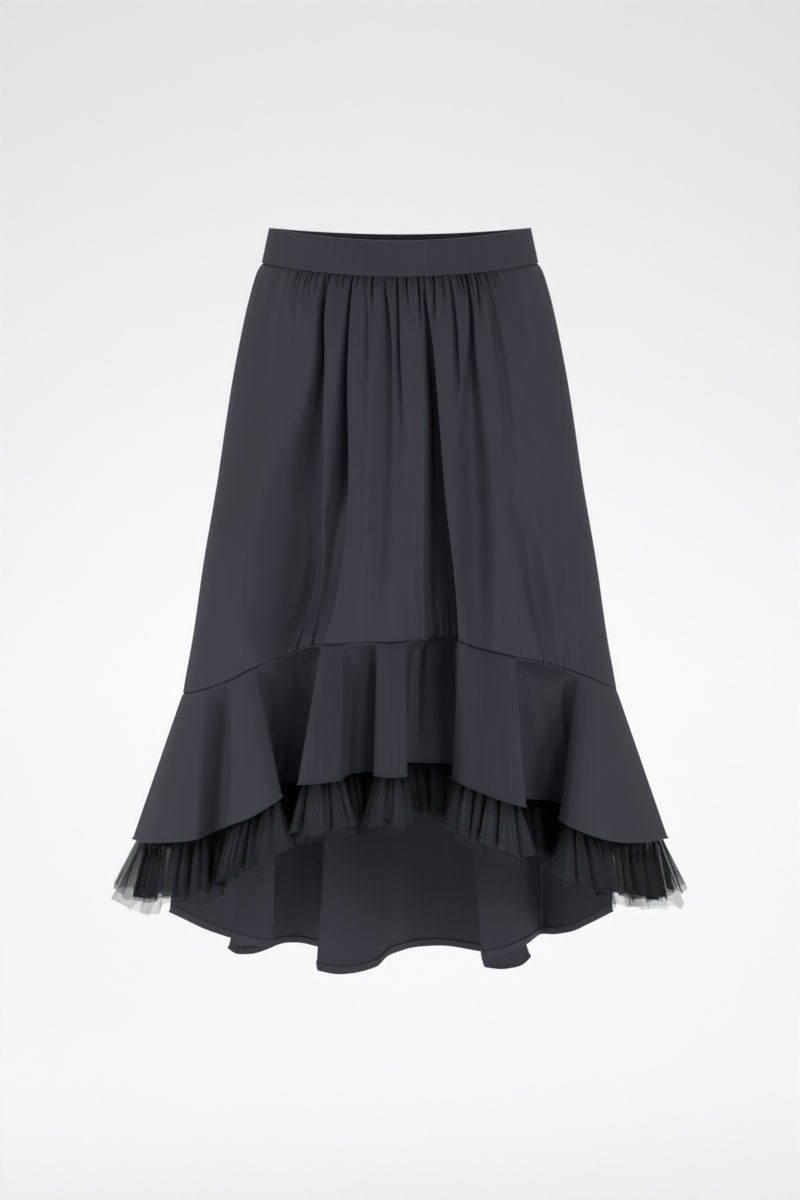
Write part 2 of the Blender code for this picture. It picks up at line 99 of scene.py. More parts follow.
# Gathers under the band: turn, drift in degrees per 100 mm, reach, half width, depth
frontGathers = [
    (-77, -6, 90, 9, 0.8), (-69.7, -2, 110, 9, 0.9), (-57.3, 2, 120, 9, 1.1),
    (-50.7, 5, 100, 7, 1.3), (-46.5, 6, 60, 4, 1.2), (-43.8, 5, 80, 4, 1.8), (-41.2, 6, 34, 2.6, 1.5),
    (-38.7, 6, 46, 3, 3), (-35.7, 5, 30, 2.4, 3.5), (-30.1, 1, 95, 2.2, 5), (-26.2, 4, 22, 2.4, 3),
    (-23.5, 4, 32, 2.4, 3), (-17.2, 2, 16, 2, 3), (-14.8, 3, 22, 1.9, 3.5), (-11.2, 2, 48, 2.4, 4.5),
    (-9.2, 1, 14, 1.6, 2.5), (-4.7, 2, 18, 1.7, 3), (-2.9, 1, 26, 1.8, 3.5), (2.2, 3, 44, 2.3, 4.5),
    (4.5, 1, 16, 1.6, 3), (7.1, 1, 70, 1.8, 5), (9.8, -1, 42, 1.9, 4), (11.7, 0, 18, 1.5, 3),
    (13.7, -3, 70, 1.9, 5.5), (17.1, 0, 40, 2.2, 5), (18.9, 0, 16, 1.6, 2.5), (23.3, 0, 20, 1.8, 3),
    (25.4, 0, 28, 1.8, 3.5), (27.6, 0, 14, 1.6, 3), (32.2, -3, 60, 2, 5), (34.2, -1, 18, 1.7, 3),
    (39.5, 3, 26, 2.2, 2.5), (42.6, 4, 30, 2.6, 2.2), (46.3, 2, 50, 4.5, 1.3), (50.5, 2, 60, 5.5, 0.9),
    (55.3, 1, 90, 8, 0.9), (64.9, -1, 90, 9, 0.8), (75, -3, 90, 9, 0.7),
]
backGathers = [
    (106, 2, 80, 8, 1.0), (112, 2, 90, 8, 1.2), (122, 1, 90, 6, 1.5), (127, 1, 60, 4, 1.8),
    (131, 1, 44, 3, 2.6), (134.3, 1, 60, 2.8, 3.5), (142.2, 0, 30, 2.4, 3), (145, 0, 52, 2.5, 4),
    (148, 0, 26, 2.2, 3), (150.8, -1, 70, 2.5, 4.5), (153.6, 0, 24, 2, 3), (161, 0, 30, 2.2, 3.5),
    (163.6, -1, 58, 2.4, 4), (166.6, 0, 22, 2, 3), (173.6, -1, 34, 2.2, 3.2), (176.4, 0, 20, 1.8, 2.4),
    (183.4, 0, 24, 1.9, 2.6), (185.8, 1, 40, 2.1, 3.2), (191.8, 1, 28, 2.1, 3), (194.4, 1, 62, 2.4, 4.2),
    (197.4, 1, 24, 2, 3), (200.2, 1, 34, 2.2, 3.4), (206.2, 2, 52, 2.3, 4), (209, 1, 24, 2, 3),
    (211.8, 2, 66, 2.5, 4.2), (214.8, 1, 28, 2.2, 3), (218, 2, 40, 2.5, 3.4), (221, 2, 24, 2.2, 2.8),
    (228, 1, 54, 2.8, 3.4), (232, 0, 36, 3, 2.4), (237, 0, 70, 4.5, 1.8), (248, -2, 90, 8, 1.2),
    (255, -2, 70, 8, 0.9),
]

# The smallest gathers, just under the band; each spread has its least and its most
ticks = {"reach": (10, 38), "halfWidth": (1.4, 2.1), "depth": (1.6, 4.0), "spacing": (0.7, 1.4)}


def tickGathers(seed, start, end, apart):
    random = np.random.RandomState(seed)
    at = start
    rows = []
    while at < end:
        sizes = [random.uniform(*ticks[part]) for part in ("reach", "halfWidth", "depth")]
        rows.append((at, 0.0, *sizes))
        at += apart * random.uniform(*ticks["spacing"])
    return rows


frontGathers += tickGathers(3, -46, 43, 2.0)
backGathers += tickGathers(5, 128, 176, 2.4) + tickGathers(6, 183, 234, 2.4)

# Puckers on both sides of the flounce seam: turn, reach up, reach down, half width, depth
frontPuckers = [
    (-36.5, 12, 6, 2.4, 1.0), (-34.2, 10, 7, 2.2, 1.0), (-31.2, 46, 9, 2.4, 2.6), (-28.4, 9, 6, 2.0, 1.0),
    (-25.8, 40, 8, 2.4, 2.6), (-23.6, 8, 6, 1.8, 1.0), (-19.6, 6, 4, 2.4, 0.6), (-9.6, 4, 9, 2.4, 1.0),
    (-6.6, 5, 8, 2.0, 1.2), (4.4, 12, 6, 2.2, 0.8), (6.6, 16, 9, 1.8, 1.3), (8.6, 30, 9, 1.8, 2.2),
    (10.6, 34, 10, 1.8, 2.4), (12.7, 30, 12, 1.8, 2.4), (14.6, 22, 8, 1.7, 2.0), (19.3, 20, 9, 2.2, 1.2),
    (22.8, 6, 5, 2.2, 0.7), (37.4, 5, 7, 2.2, 0.9), (40.2, 8, 6, 1.7, 1.8), (42.4, 28, 6, 1.9, 3.4),
    (44.8, 12, 6, 1.7, 2.8), (47.0, 11, 8, 1.6, 2.6), (50.2, 30, 9, 2.0, 3.6),
    (52.6, 10, 8, 1.7, 2.4), (54.6, 9, 6, 1.8, 1.8),
    (-66, 5, 5, 3, 0.5), (70, 5, 5, 3, 0.5),
]
backPuckers = [
    (118, 8, 6, 3, 0.8), (131.5, 18, 12, 2.2, 1.6), (134.4, 10, 14, 2, 1.4), (138.6, 26, 16, 2.2, 2),
    (142.4, 10, 12, 2, 1.4), (153, 20, 18, 2, 1.8), (155.6, 30, 20, 2, 2.2), (158.4, 12, 14, 1.8, 1.6),
    (171, 8, 8, 2.4, 0.8), (187, 8, 10, 2.2, 0.9), (204.6, 14, 14, 2, 1.6), (207.6, 30, 20, 2, 2.2),
    (210.6, 18, 18, 2, 1.8), (221.4, 10, 12, 2, 1.4), (224.6, 26, 16, 2.2, 2), (228.4, 10, 10, 2, 1.4),
    (241, 8, 6, 3, 0.8),
]

# Hems, one row for each corner of the flutes: turn where its line leaves the seam, its place on
# the hem, how far it sinks in just under the seam, and how round the corner is
frontHem = [
    (-97, -229.5, 34, -612, 0, 0.5), (-92.5, -257, 19, -602, 0, 6), (-88, -271, -3, -594, 0, 7),
    (-78, -251, -62, -589, -2, 18), (-68, -214, -122, -577, -1, 10), (-62, -196, -138, -572, -2, 5),
    (-58.5, -180, -123, -566, 13, 4), (-55.5, -170, -130, -562, 14, 4), (-52, -158, -178, -549.5, 0, 7),
    (-49, -143, -190, -543, -2, 10), (-44.8, -123, -204, -528, -2, 6),
    (-42.2, -111, -199, -519.5, 0, 2.2), (-40.4, -126, -168, -519, 16, 3), (-37.6, -123, -138, -517, 22, 5),
    (-26, -84, -140, -513, 22, 5), (-23.8, -80, -170, -511, 15, 3), (-22.3, -98, -203, -508, 0, 2.2),
    (-18.5, -80, -214, -505.5, -3, 10), (-15.4, -57, -209, -503, 0, 4), (-14.6, -52, -182, -502, 9, 4),
    (-13.4, -44, -167, -502, 13, 4), (-7.6, -18, -160, -501, 15, 3), (-6.3, -25.5, -197, -500, 0, 2.2),
    (-2.5, -8, -207, -501, -3, 6),
    (1.4, 7.5, -203, -499.5, 0, 2.2), (3, -2, -170, -497, 14, 3), (4.4, 3, -143, -495.5, 24, 5),
    (13, 57, -138, -497, 29, 5), (15.2, 66, -160, -500, 18, 3), (16.3, 48.5, -175, -505.5, 0, 2.2),
    (18.4, 57, -194, -508, -1, 5),
    (22, 72, -206, -513, -2, 14), (28, 99, -215, -523, -3, 12), (32.3, 120, -207, -529, 0, 2.2),
    (33.6, 106, -176, -529, 12, 3), (35.6, 110, -146, -530, 22, 6), (47.5, 153, -98, -540, 23, 12),
    (54.8, 172, -128, -546, 15, 4), (56.4, 151.5, -166, -546.5, 0, 2.2),
    (58, 159, -181, -550, -1, 5), (60.5, 176, -185, -558, -3, 12),
    (67, 206, -131, -576, -2, 22), (78, 243, -66, -588, -2, 22), (88, 272, -3, -593, 0, 7),
    (92.5, 252, 21, -602, 0, 6), (97, 216.5, 37, -612, 0, 0.5),
]
backHem = [
    (97, 217, 44, -678, 0, 0.5), (106, 206, 96, -696, 0, 8), (117, 181, 146, -720, 0, 8),
    (133, 163, 176, -729, 0, 5), (138, 151, 196, -732, 0, 4), (143.4, 135, 150, -734, 5, 3),
    (150.6, 110, 126, -741, 12, 6), (158, 86, 114, -743, 18, 2), (159.5, 88, 142, -757, 10, 3),
    (161, 108, 177, -767, 3, 7), (161.9, 130, 186, -765, 1, 5), (162.5, 141, 190, -754, 0, 4),
    (163.5, 113, 214, -758, -3, 5),
    (165, 86, 222, -757, -4, 6), (169, 49, 223, -750, -4, 10), (176, 14, 208, -749, -3, 9),
    (183, -13, 178, -752, 2, 6), (187, -22, 160, -760, 6, 5),
    (191, -42, 138, -762, 14, 10), (197, -65, 116, -760, 22, 8),
    (203.5, -88, 112, -754, 24, 2), (205, -76, 152, -751, 8, 4), (208, -83, 202, -749, 0, 5),
    (211, -107, 222, -747, -4, 6), (214.6, -126, 217, -746, -3, 6), (215.5, -142, 209, -752, -3, 5),
    (216.2, -156, 202, -755.5, -3, 5), (216.8, -175, 192, -754, -1, 4), (217.3, -185, 187, -745, 0, 4),
    (218.4, -157, 166, -738, 4, 4), (219.5, -132, 130, -734, 16, 2.5),
    (225, -153, 134, -732, 14, 6), (233.4, -180, 146, -726, 5, 8), (244.6, -204, 116, -711, 2, 8),
    (256, -223, 80, -693, 0, 8), (263, -235, 40, -678, 0, 0.5),
]

# How much higher the flounce seam runs than its even line, by turn, where gathers lift or drag it
seamLifts = [
    (-97, 0), (-75, -3), (-51, -6), (-39.6, -1), (-31, 2), (-24, 1.5), (-17, -2.5), (-9, -3), (0, -2),
    (9, 1), (15, 1), (20.5, -3.5), (26, -3.5), (32, -2.2), (40, 2), (53, 4.2), (75, 3.5), (97, 0),
]

front = {"folds": frontFolds, "gathers": frontGathers, "puckers": frontPuckers, "hem": frontHem}
back = {"folds": backFolds, "gathers": backGathers, "puckers": backPuckers, "hem": backHem}
bandFoot = rings["bandTop"] - rings["bandHeight"]


def curve(keys, values, at):
    # a smooth curve through the keys and values, read at every number in at
    keys = np.asarray(keys, float)
    values = np.asarray(values, float)
    span = np.diff(keys)
    rise = np.diff(values) / span
    inner = (span[:-1] * rise[1:] + span[1:] * rise[:-1]) / (span[:-1] + span[1:])
    slope = np.concatenate([rise[:1], inner, rise[-1:]])
    i = np.clip(np.searchsorted(keys, at, side="right") - 1, 0, len(keys) - 2)
    f = (at - keys[i]) / span[i]
    return ((1 + 2 * f) * (1 - f) ** 2 * values[i] + f * (1 - f) ** 2 * span[i] * slope[i]
            + f * f * (3 - 2 * f) * values[i + 1] - f * f * (1 - f) * span[i] * slope[i + 1])


def curveOf(table, at, column=1):
    # one column of a table as a smooth curve over its first column
    return curve([row[0] for row in table], [row[column] for row in table], at)


def mix(a, b, f):
    return a + (b - a) * f


def step(low, high, at):
    # 0 below low, 1 above high, smooth between
    f = np.clip((at - low) / (high - low), 0, 1)
    return f * f * (3 - 2 * f)


def unit(vectors):
    return vectors / np.maximum(np.linalg.norm(vectors, axis=-1, keepdims=True), 1e-9)


def lengthsAlong(points):
    # how far along its line each point is from the first row of points
    steps = np.linalg.norm(np.diff(points, axis=0), axis=-1)
    return np.concatenate([np.zeros_like(steps[:1]), np.cumsum(steps, axis=0)])


def evened(points, width, spacing):
    # a line of evenly spaced points with its corners rounded off over a width
    window = int(2.5 * width / spacing)
    weights = np.exp(-0.5 * (np.arange(-window, window + 1) * spacing / width) ** 2)
    weights = weights / weights.sum()
    padded = np.pad(points, ((window, window), (0, 0)), mode="reflect", reflect_type="odd")
    return np.stack([np.convolve(padded[:, n], weights, mode="valid") for n in range(3)], axis=-1)


def bandTop(turn):
    lean = np.cos(np.radians(turn))
    dip = np.where(lean > 0, rings["frontDip"], rings["backDip"])
    return rings["bandTop"] - dip * lean ** 2


def seamLevel(turn):
    turn = (np.asarray(turn, float) + 180) % 360 - 180
    lifted = np.clip(turn, -rings["sideSeam"], rings["sideSeam"])
    return curveOf(rings["flounceSeam"], np.abs(turn)) + curveOf(seamLifts, lifted)


def ringSizes(table, turn, level):
    height, *sizes = np.array(table, float).T
    width, inFront, behind = (curve(-height, size, -level) for size in sizes)
    return width, np.where(np.cos(np.radians(turn)) > 0, inFront, behind)


def onRing(table, turn, level, z, inset=0.0, sideways=0.0):
    # the point of a ring at a turn, moved in by inset and along the ring by sideways
    width, depth = ringSizes(table, turn, level)
    angle = np.radians(turn)
    angle = angle + sideways / np.hypot(width * np.cos(angle), depth * np.sin(angle))
    sine, cosine = np.sin(angle), np.cos(angle)
    length = np.hypot(sine / width, cosine / depth)
    x = width * sine - inset * sine / width / length
    y = -depth * cosine + inset * cosine / depth / length
    return np.stack(np.broadcast_arrays(x, y, z), axis=-1)


def perDegree(turn, level):
    # how far the cloth goes in one degree of turn
    width, depth = ringSizes(rings["body"], turn, level)
    angle = np.radians(turn)
    return np.hypot(width * np.cos(angle), depth * np.sin(angle)) * math.pi / 180


def waistTurn(side, turn):
    # the turn at the waist of the cloth that reaches the flounce seam at a turn, led by the
    # folds that run the whole way down
    edge = rings["sideSeam"]
    start, end = (edge, 360 - edge) if side is back else (-edge, edge)
    whole = [fold[2] for fold in side["folds"] if fold[2][0][0] == 0 and fold[2][-1][0] == 1]
    seams = [start] + [stations[-1][1] for stations in whole] + [end]
    waists = [start] + [stations[0][1] for stations in whole] + [end]
    return curve(seams, waists, turn)


# How the folds, gathers and puckers are pressed into the cloth
pressing = {
    "foldStart": (-3, 5),  # distances below the band between which a fold comes in
    "gatherStart": (-3, 3),
    "gatherSpread": 0.9,  # how much wider it is at the end of its reach
    "gatherSquare": 1.4,
    "puckerSpread": 0.6,
    "puckerSquare": 1.3,
    "panelPucker": 1.6,  # puckers are deeper above the flounce seam
    "seamGroove": 2.2,  # depth and half width of the flounce seam's groove
    "grooveWidth": 1.0,
}


def crease(distance, square):
    return np.clip(1 - np.abs(distance) ** square, 0, 1) ** 2


def puckerDent(around, away, reach, half, depth):
    # around is the distance along the seam from the pucker, away the distance from the seam
    part = np.clip(away / reach, 0, 1)
    spread = half * (1 + pressing["puckerSpread"] * part)
    return depth * (1 - part) ** 1.5 * crease(around / spread, pressing["puckerSquare"])


def groove(away):
    return pressing["seamGroove"] * np.exp(-(away / pressing["grooveWidth"]) ** 2)


def pressed(side, turn, down, fall, left, puckered):
    # how far folds, gathers and puckers move the cloth in and sideways at each point;
    # fall is the distance below the band and left the distance above the flounce seam
    scale = perDegree(turn, bandFoot - fall)
    inset = np.zeros_like(turn)
    sideways = np.zeros_like(turn)
    for lean, square, stations in side["folds"]:
        first, last = stations[0][0], stations[-1][0]
        part = np.clip(down, first, last)
        centre, half, depth = (curveOf(stations, part, column) for column in (1, 2, 3))
        depth = depth * (down >= first) * (down <= last) * step(*pressing["foldStart"], fall)
        dent = np.maximum(depth, 0) * crease((turn - centre) * scale / half, square)
        inset += dent
        sideways += lean * dent
    for at, drift, reach, half, depth in side["gathers"]:
        part = np.clip(fall / reach, 0, 1)
        centre = at + drift * fall / 100
        size = depth * (1 - part ** 2) ** 2 * step(*pressing["gatherStart"], fall)
        spread = half * (1 + pressing["gatherSpread"] * part)
        inset += size * crease((turn - centre) * scale / spread, pressing["gatherSquare"])
    if puckered:
        for at, up, _, half, depth in side["puckers"]:
            inset += puckerDent((turn - at) * scale, left, up, half, pressing["panelPucker"] * depth)
        inset += groove(left)
    return inset, sideways


def panelPoints(side, turn, down, tuck=0.0, puckered=True):
    # points of an upper panel; turn is where the cloth reaches the flounce seam
    start = waistTurn(side, turn)
    seam = seamLevel(turn)
    top = bandTop(start) - rings["bandHeight"]
    inside = np.clip(down, 0, 1)
    here = mix(start, turn, inside)
    level = np.minimum(mix(bandFoot, seam, down), bandFoot)
    z = mix(top, seam, down)
    inset, sideways = pressed(side, here, inside, top - z, z - seam, puckered)
    return onRing(rings["body"], here, level, z, inset + tuck, sideways)


def hemLines(side, count, start=0.0, end=1.0):
    # lines that run down a flounce, evenly spaced along its hem, whose corners are rounded
    table = np.array(side["hem"], float)
    run = lengthsAlong(table[:, 1:4])
    fine = np.linspace(0, run[-1], int(run[-1]))
    spots = np.stack([np.interp(fine, run, column) for column in table.T], axis=-1)
    share = np.exp(-0.5 * ((fine[None, :] - fine[:, None]) / spots[:, 5:6]) ** 2)
    spots = share @ spots / share.sum(axis=1, keepdims=True)
    run = lengthsAlong(spots[:, 1:4])
    along = np.linspace(run[-1] * start, run[-1] * end, count)
    turn, x, y, z, sink = (np.interp(along, run, spots[:, n]) for n in range(5))
    return turn, np.stack([x, y, z], axis=-1), sink, along


# How much of its sink each line has at a part of the way down the flounce
sinkDown = [(0, 0), (0.04, 0.5), (0.1, 0.88), (0.2, 1.0), (0.5, 0.7), (1, 0)]


def flouncePoints(side, lines, down):
    # points of a flounce, rows by columns; down runs from 0 at the seam to 1 at the hem
    turn, hem, sink, _ = lines
    seam = panelPoints(side, turn, np.ones_like(turn), puckered=False)
    inward = -unit(seam * [1, 1, 0])
    part = np.asarray(down, float)[:, None, None]
    points = mix(seam, hem, part) + inward * sink[:, None] * curveOf(sinkDown, part)
    fall = np.linalg.norm(points - points[:1], axis=-1)
    scale = perDegree(turn, seamLevel(turn))
    for at, _, reach, half, depth in side["puckers"]:
        dent = puckerDent((turn - at) * scale, fall, reach, half, depth)
        points = points + inward * dent[..., None]
    return points + inward * groove(fall)[..., None]


def outwardOf(points):
    # the level direction out of the skirt along a row of points
    along = np.gradient(points, axis=-2)
    return unit(np.stack([along[..., 1], -along[..., 0], np.zeros_like(along[..., 0])], axis=-1))


def placed(name, data):
    thing = bpy.data.objects.new(name, data)
    bpy.context.scene.collection.objects.link(thing)
    return thing


def addNode(tree, kind, settings=(), **given):
    # a shader node; each input is given by name, as a value or as the socket that feeds it
    node = tree.nodes.new(kind)
    for key, value in dict(settings).items():
        setattr(node, key, value)
    for title, value in given.items():
        feed(tree, node.inputs[title.replace("_", " ")], value)
    return node


def feed(tree, socket, value):
    if isinstance(value, bpy.types.NodeSocket):
        tree.links.new(value, socket)
    else:
        socket.default_value = value


def mathNode(tree, operation, *terms, clamp=False):
    node = addNode(tree, "ShaderNodeMath", {"operation": operation, "use_clamp": clamp})
    for socket, term in zip(node.inputs, terms):
        feed(tree, socket, term)
    return node.outputs[0]


def rangeNode(tree, value, low, high, least, most):
    # value between low and high, spread between least and most
    node = addNode(tree, "ShaderNodeMapRange", Value=value,
                   From_Min=low, From_Max=high, To_Min=least, To_Max=most)
    return node.outputs["Result"]


def mixNode(tree, factor, first, second):
    node = addNode(tree, "ShaderNodeMix", {"data_type": "RGBA"}, Factor=factor, A=first, B=second)
    return node.outputs["Result"]


def noiseNode(tree, vector, scale, detail):
    noise = addNode(tree, "ShaderNodeTexNoise", Vector=vector, Scale=scale, Detail=detail)
    return noise.outputs["Fac"]


def laidNode(tree, vector, scale, turn=0.0):
    # a pattern's place, stretched along each direction and turned
    laid = addNode(tree, "ShaderNodeMapping", Vector=vector, Rotation=(0, 0, turn), Scale=scale)
    return laid.outputs[0]


def mapOf(tree, title):
    return addNode(tree, "ShaderNodeUVMap", {"uv_map": title}).outputs[0]


def placeOf(tree):
    return addNode(tree, "ShaderNodeTexCoord").outputs["Object"]


def shaded(colour, share=1.0):
    return (*[part * share for part in colour], 1)


def newMaterial(name, **values):
    material = bpy.data.materials.new(name)
    material.use_nodes = True
    shader = material.node_tree.nodes["Principled BSDF"]
    for title, value in values.items():
        shader.inputs[title.replace("_", " ")].default_value = value
    return material, material.node_tree, shader


def newGroup(name, given, made):
    # an empty node group with its named inputs and outputs, each with its kind of socket
    tree = bpy.data.node_groups.new(name, "ShaderNodeTree")
    for way, sockets in (("INPUT", given), ("OUTPUT", made)):
        for title, kind in sockets.items():
            tree.interface.new_socket(name=title, in_out=way, socket_type="NodeSocket" + kind)
    return tree, tree.nodes.new("NodeGroupInput").outputs, tree.nodes.new("NodeGroupOutput").inputs


oneBand = 0.159  # scale of a wave texture whose bands are one unit apart
weaving = {
    "wander": 0.6,  # how far the threads wander
    "slubs": (420, 14, 1),  # how many to a metre, across and along the warp
    "clouds": 9.0,  # patches of uneven dye to a metre
    "dye": (0.3, 0.7),  # where in their noise the dark and the plain colour lie
    "roughness": 0.05,  # how far it goes either way
    "bump": 0.35,
}


def weaveGroup():
    # fine plain weave on the cut's own map, with soft slubs along the warp
    tree, given, made = newGroup("fineWeave", {"Cut": "Vector", "Threads": "Float", "Slub": "Float"},
                                 {"Height": "Float", "Shade": "Float"})
    sized = addNode(tree, "ShaderNodeVectorMath", {"operation": "SCALE"},
                    Vector=given["Cut"], Scale=given["Threads"])
    waves = []
    for direction in ("X", "Y"):
        wave = addNode(tree, "ShaderNodeTexWave", {"bands_direction": direction},
                       Vector=sized.outputs[0], Scale=oneBand, Distortion=weaving["wander"], Detail=1.0)
        waves.append(wave.outputs["Fac"])
    crossed = mathNode(tree, "MULTIPLY", *waves)
    slub = noiseNode(tree, laidNode(tree, given["Cut"], weaving["slubs"]), 1.0, 3.0)
    centred = mathNode(tree, "SUBTRACT", slub, 0.5)
    shade = mathNode(tree, "MULTIPLY", centred, given["Slub"])
    feed(tree, made["Height"], mathNode(tree, "ADD", crossed, shade))
    feed(tree, made["Shade"], shade)
    return tree


def wovenCloth(name, weave, look):
    material, tree, shader = newMaterial(name, Roughness=look["roughness"],
                                         Specular_IOR_Level=look["specular"])
    woven = addNode(tree, "ShaderNodeGroup", {"node_tree": weave},
                    Cut=mapOf(tree, "cut"), Threads=look["threads"], Slub=look["slub"])
    cloud = noiseNode(tree, placeOf(tree), weaving["clouds"], 4.0)
    blend = mathNode(tree, "ADD", cloud, woven.outputs["Shade"])
    ramp = addNode(tree, "ShaderNodeValToRGB", Fac=blend)
    colours = (look["dark"], look["colour"])
    for end, place, colour in zip(ramp.color_ramp.elements, weaving["dye"], colours):
        end.position = place
        end.color = shaded(colour)
    height = woven.outputs["Height"]
    rough = rangeNode(tree, height, 0, 1, look["roughness"] - weaving["roughness"],
                      look["roughness"] + weaving["roughness"])
    raised = addNode(tree, "ShaderNodeBump", Height=height, Strength=weaving["bump"],
                     Distance=look["relief"])
    feed(tree, shader.inputs["Base Color"], ramp.outputs["Color"])
    feed(tree, shader.inputs["Roughness"], rough)
    feed(tree, shader.inputs["Normal"], raised.outputs["Normal"])
    return material


netLook = {
    "slant": 1.05,  # turn of each set of threads, in radians
    "threads": (1400, 1400, 1), "bunches": (330, 6, 1),
    "wander": 0.4,  # how far the threads wander
    "cover": (0.55, 1.1),  # sums of thread and bunch that give the least and most cover
    "sides": (0.222, 0.262),  # metres out from the middle between which the net gets thinner
    "sideCover": 0.6,
    "edgeStart": 0.7,  # part of the way down from which the cut edge is clearer
    "paintedHemShadowReach": 0.45, "paintedHemShadow": 0.6,  # part of the way down that a painted shadow under the hem reaches, and how dark it is
    "paintedSideShadeSpan": (0.1, 0.2), "paintedSideShade": 0.3,  # metres out between which painted shade darkens it, and how much
    "streaks": (0.75, 1.2),  # shares of its colour between bunches and in them
    "deep": 0.1,  # share of its colour left where the painted shade is full
    "roughness": 0.9, "specular": 0.08,
}


def netGroup():
    # diamond net of two slanting sets of threads with clear holes between. Cover is how much of
    # it is thread, Streak how the threads bunch, and the third output the painted shade where little light
    # gets
    tree, given, made = newGroup(
        "diamondNet", {"Cut": "Vector", "Pleat": "Vector", "Place": "Vector", "Least": "Float",
                       "Most": "Float", "Edge": "Float", "Narrow": "Float", "Opaque": "Float"},
        {"Cover": "Float", "Streak": "Float", "PaintedShade": "Float"})
    waves = []
    for slant in (netLook["slant"], -netLook["slant"]):
        laid = laidNode(tree, given["Cut"], netLook["threads"], slant)
        wave = addNode(tree, "ShaderNodeTexWave", Vector=laid, Scale=oneBand,
                       Distortion=netLook["wander"])
        waves.append(wave.outputs["Fac"])
    streak = noiseNode(tree, laidNode(tree, given["Cut"], netLook["bunches"]), 1.0, 2.0)
    threads = mathNode(tree, "MULTIPLY_ADD", mathNode(tree, "MAXIMUM", *waves), 0.5, streak)
    cover = rangeNode(tree, threads, *netLook["cover"], given["Least"], given["Most"])
    # fewer layers hang towards the skirt's sides
    place = addNode(tree, "ShaderNodeSeparateXYZ", Vector=given["Place"])
    aside = mathNode(tree, "ABSOLUTE", place.outputs["X"])
    thin = rangeNode(tree, aside, *netLook["sides"], 1.0, netLook["sideCover"])
    clear = mathNode(tree, "MULTIPLY", cover, thin)
    # a pleat's folded line is closer net, and the cut edge is clearer net
    pleat = addNode(tree, "ShaderNodeSeparateXYZ", Vector=given["Pleat"])
    line = mathNode(tree, "POWER", pleat.outputs["X"], given["Narrow"], clamp=True)
    folded = mathNode(tree, "MULTIPLY_ADD", line, given["Opaque"], clear)
    edge = rangeNode(tree, pleat.outputs["Y"], netLook["edgeStart"], 1, 1.0, given["Edge"])
    feed(tree, made["Cover"], mathNode(tree, "MULTIPLY", folded, edge, clamp=True))
    feed(tree, made["Streak"], streak)
    # painted shade: the net's colour is darker down in its pleats and recesses, under the hem as a painted
    # shadow, and away from the middle
    paintedUnderHem = rangeNode(tree, pleat.outputs["Y"], 0, netLook["paintedHemShadowReach"], netLook["paintedHemShadow"], 0)
    paintedSideShade = rangeNode(tree, aside, *netLook["paintedSideShadeSpan"], 0, netLook["paintedSideShade"])
    paintedShadeAmount = mathNode(tree, "ADD", pleat.outputs["X"], mathNode(tree, "ADD", paintedSideShade, paintedUnderHem), clamp=True)
    feed(tree, made["PaintedShade"], paintedShadeAmount)
    return tree


def netCloth(name, mesh, look):
    material, tree, shader = newMaterial(name, Roughness=netLook["roughness"],
                                         Specular_IOR_Level=netLook["specular"])
    net = addNode(tree, "ShaderNodeGroup", {"node_tree": mesh},
                  Cut=mapOf(tree, "cut"), Pleat=mapOf(tree, "pleat"), Place=placeOf(tree),
                  Least=look["cover"] - look["contrast"], Most=look["cover"] + look["contrast"],
                  Edge=look["edge"], Narrow=look["narrow"], Opaque=look["opaque"])
    colour = look["colour"]
    streaks = [shaded(colour, share) for share in netLook["streaks"]]
    streaked = mixNode(tree, net.outputs["Streak"], *streaks)
    # painted shade: the colour goes over to a dark share of itself where the shade map is high
    deep = mixNode(tree, net.outputs["PaintedShade"], streaked, shaded(colour, netLook["deep"]))
    feed(tree, shader.inputs["Base Color"], deep)
    feed(tree, shader.inputs["Alpha"], net.outputs["Cover"])
    return material


zipLook = {"metal": 0.6, "grain": 900.0, "dark": (0.045, 0.048, 0.058), "light": (0.07, 0.075, 0.09),
           "roughness": (0.25, 0.5)}


def zipMetal():
    material, tree, shader = newMaterial("zipMetal", Metallic=zipLook["metal"], Roughness=0.35)
    grain = noiseNode(tree, placeOf(tree), zipLook["grain"], 2.0)
    tint = mixNode(tree, grain, shaded(zipLook["dark"]), shaded(zipLook["light"]))
    feed(tree, shader.inputs["Base Color"], tint)
    feed(tree, shader.inputs["Roughness"], rangeNode(tree, grain, 0, 1, *zipLook["roughness"]))
    return material


slateLook = {
    "colour": (0.0585, 0.0620, 0.0810), "dark": (0.0510, 0.0545, 0.0700), "roughness": 0.7,
    "specular": 0.25, "threads": 3600.0, "slub": 0.8, "relief": 0.00012,
}
tapeLook = {
    "colour": (0.040, 0.044, 0.055), "dark": (0.034, 0.038, 0.048), "roughness": 0.7,
    "specular": 0.5, "threads": 2200.0, "slub": 0.3, "relief": 0.0002,
}
darkLook = {"colour": (0.064, 0.065, 0.074), "cover": 0.62, "contrast": 0.22, "edge": 0.65,
            "narrow": 3.0, "opaque": 0.1}
paleLook = {"colour": (0.060, 0.061, 0.068), "cover": 0.18, "contrast": 0.07, "edge": 1.0,
            "narrow": 3.0, "opaque": 0.45}


